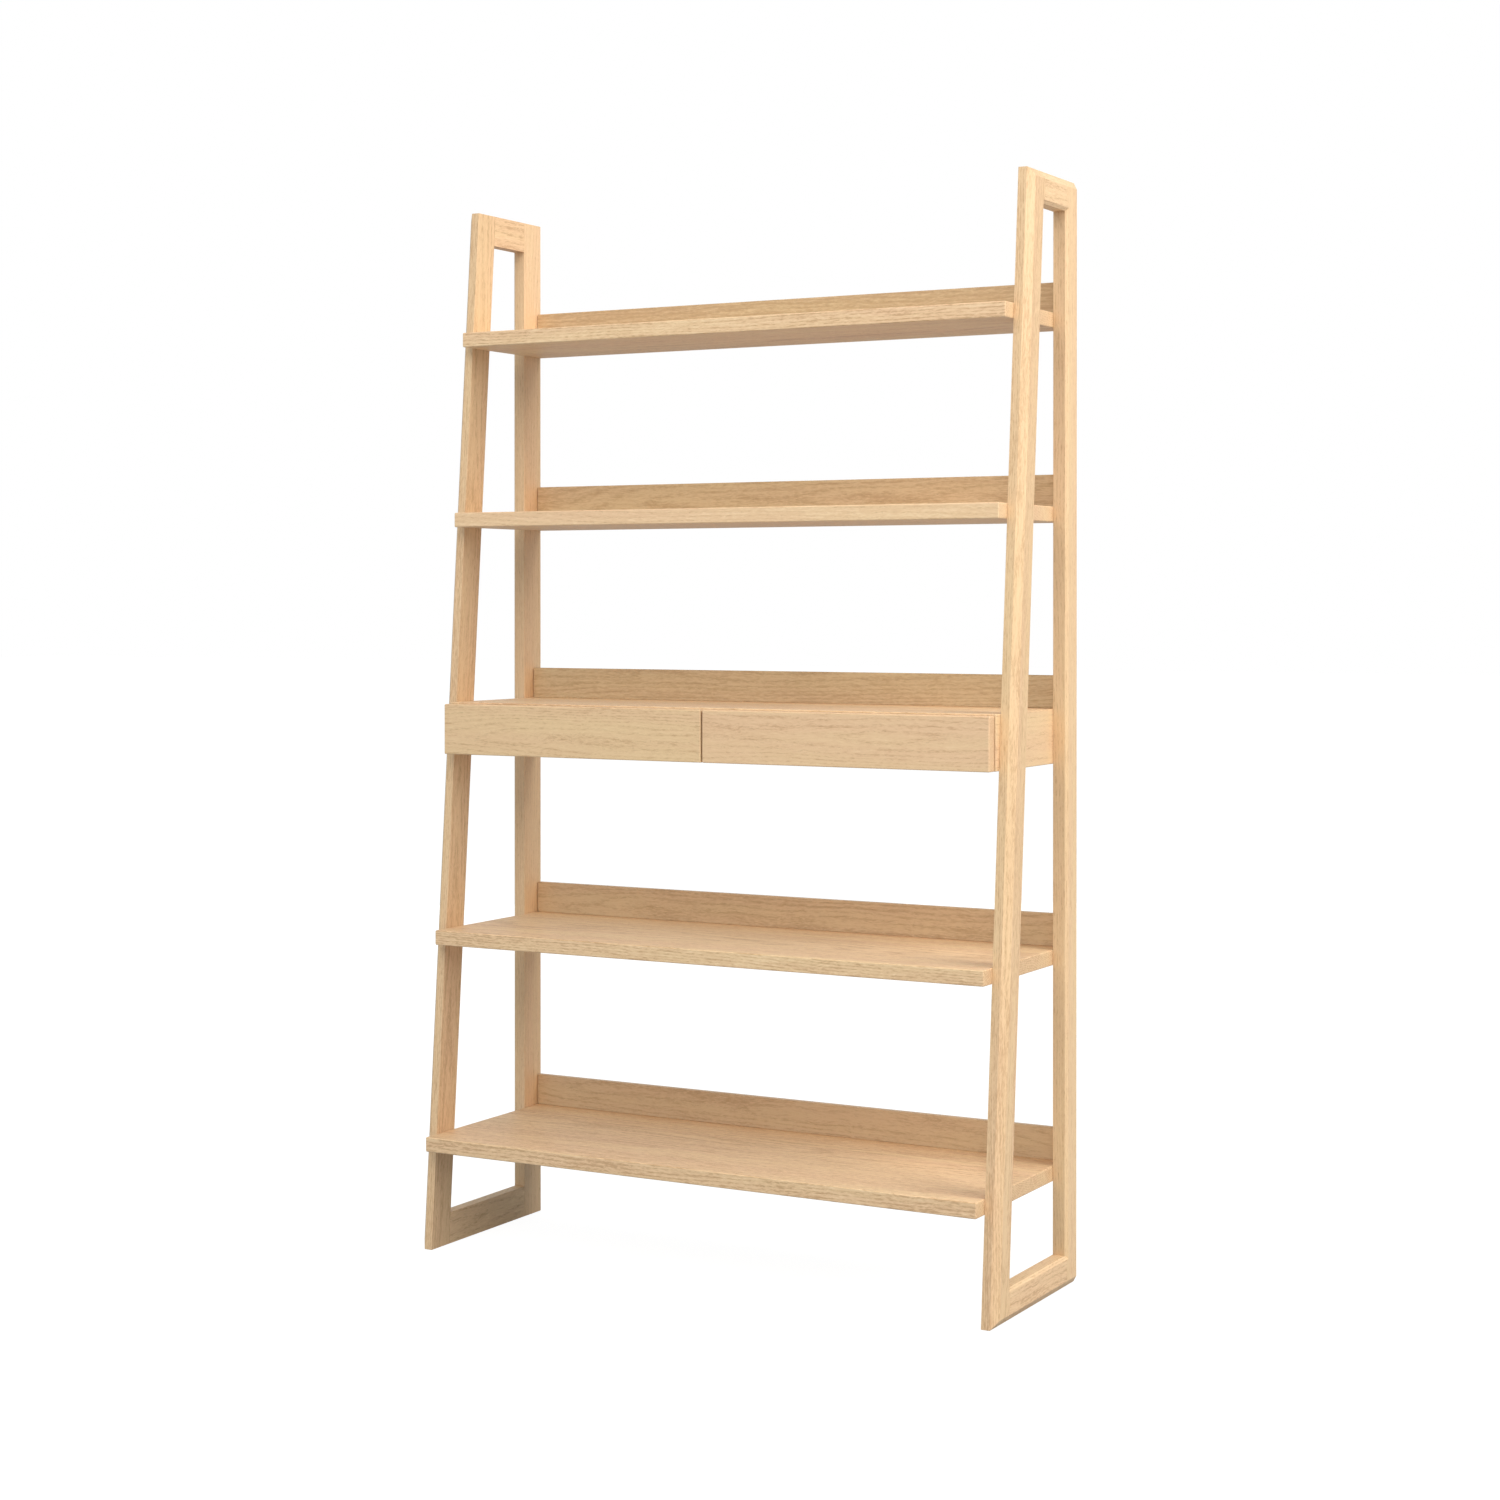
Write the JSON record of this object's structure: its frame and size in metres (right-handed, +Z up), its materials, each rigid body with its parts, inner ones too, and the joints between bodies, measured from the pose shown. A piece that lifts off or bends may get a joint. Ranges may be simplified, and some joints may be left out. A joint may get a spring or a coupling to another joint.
{
  "type": "ladder shelf",
  "caption": "Free-standing wooden ladder shelf: tapering side frames carry open shelves that deepen towards the floor, each with a low back board, and a case with sliding drawers.",
  "frame": {"origin": "centre of the bounding box's base, on the floor", "axes": "+X along the shelves to the right as seen from the front, +Y back towards the wall, +Z up"},
  "size_m": [1.2, 0.3966, 2],
  "materials": {
    "frame_oak": "clear matt lacquer, straight grain along each member",
    "board_oak": "clear matt lacquer, grain along the board",
    "gallery_oak": "clear matt lacquer, grain along the board",
    "drawer_front_oak": "clear matt lacquer, flat-sawn grain along the front",
    "drawer_box_oak": "sanded, thin clear lacquer",
    "plywood": "sanded light plywood",
    "beech": "planed, bare"
  },
  "bodies": {
    "shelf": {"left_front_leg": "frame_oak", "left_rear_leg": "frame_oak", "left_top_rail": "frame_oak", "left_bottom_rail": "frame_oak", "right_front_leg": "frame_oak", "right_rear_leg": "frame_oak", "right_top_rail": "frame_oak", "right_bottom_rail": "frame_oak", "top_shelf": "board_oak", "upper_shelf": "board_oak", "lower_shelf": "board_oak", "bottom_shelf": "board_oak", "top_shelf_gallery": "gallery_oak", "upper_shelf_gallery": "gallery_oak", "case_gallery": "gallery_oak", "lower_shelf_gallery": "gallery_oak", "bottom_shelf_gallery": "gallery_oak", "case_top": "board_oak", "case_bottom": "drawer_box_oak", "case_left_side": "board_oak", "case_right_side": "board_oak", "case_divider": "board_oak", "case_rear_panel": "drawer_box_oak", "left_drawer_inner_runner": "beech", "left_drawer_outer_runner": "beech", "right_drawer_inner_runner": "beech", "right_drawer_outer_runner": "beech", "top_shelf_left_front_dowel": "beech", "top_shelf_left_rear_dowel": "beech", "top_shelf_right_front_dowel": "beech", "top_shelf_right_rear_dowel": "beech", "upper_shelf_left_front_dowel": "beech", "upper_shelf_left_rear_dowel": "beech", "upper_shelf_right_front_dowel": "beech", "upper_shelf_right_rear_dowel": "beech", "lower_shelf_left_front_dowel": "beech", "lower_shelf_left_rear_dowel": "beech", "lower_shelf_right_front_dowel": "beech", "lower_shelf_right_rear_dowel": "beech", "bottom_shelf_left_front_dowel": "beech", "bottom_shelf_left_rear_dowel": "beech", "bottom_shelf_right_front_dowel": "beech", "bottom_shelf_right_rear_dowel": "beech", "case_left_front_dowel": "beech", "case_left_rear_dowel": "beech", "case_right_front_dowel": "beech", "case_right_rear_dowel": "beech"},
    "left_drawer": {"left_drawer_front": "drawer_front_oak", "left_drawer_inner_front": "drawer_box_oak", "left_drawer_inner_side": "drawer_box_oak", "left_drawer_outer_side": "drawer_box_oak", "left_drawer_back": "drawer_box_oak", "left_drawer_bottom": "plywood"},
    "right_drawer": {"right_drawer_front": "drawer_front_oak", "right_drawer_inner_front": "drawer_box_oak", "right_drawer_inner_side": "drawer_box_oak", "right_drawer_outer_side": "drawer_box_oak", "right_drawer_back": "drawer_box_oak", "right_drawer_bottom": "plywood"}
  },
  "joints": [
    {"name": "left_drawer_slide", "type": "slide", "parent": "shelf", "child": "left_drawer", "axis": [0, -1, 0], "range_m": [0, 0.19]},
    {"name": "right_drawer_slide", "type": "slide", "parent": "shelf", "child": "right_drawer", "axis": [0, -1, 0], "range_m": [0, 0.19]}
  ]
}
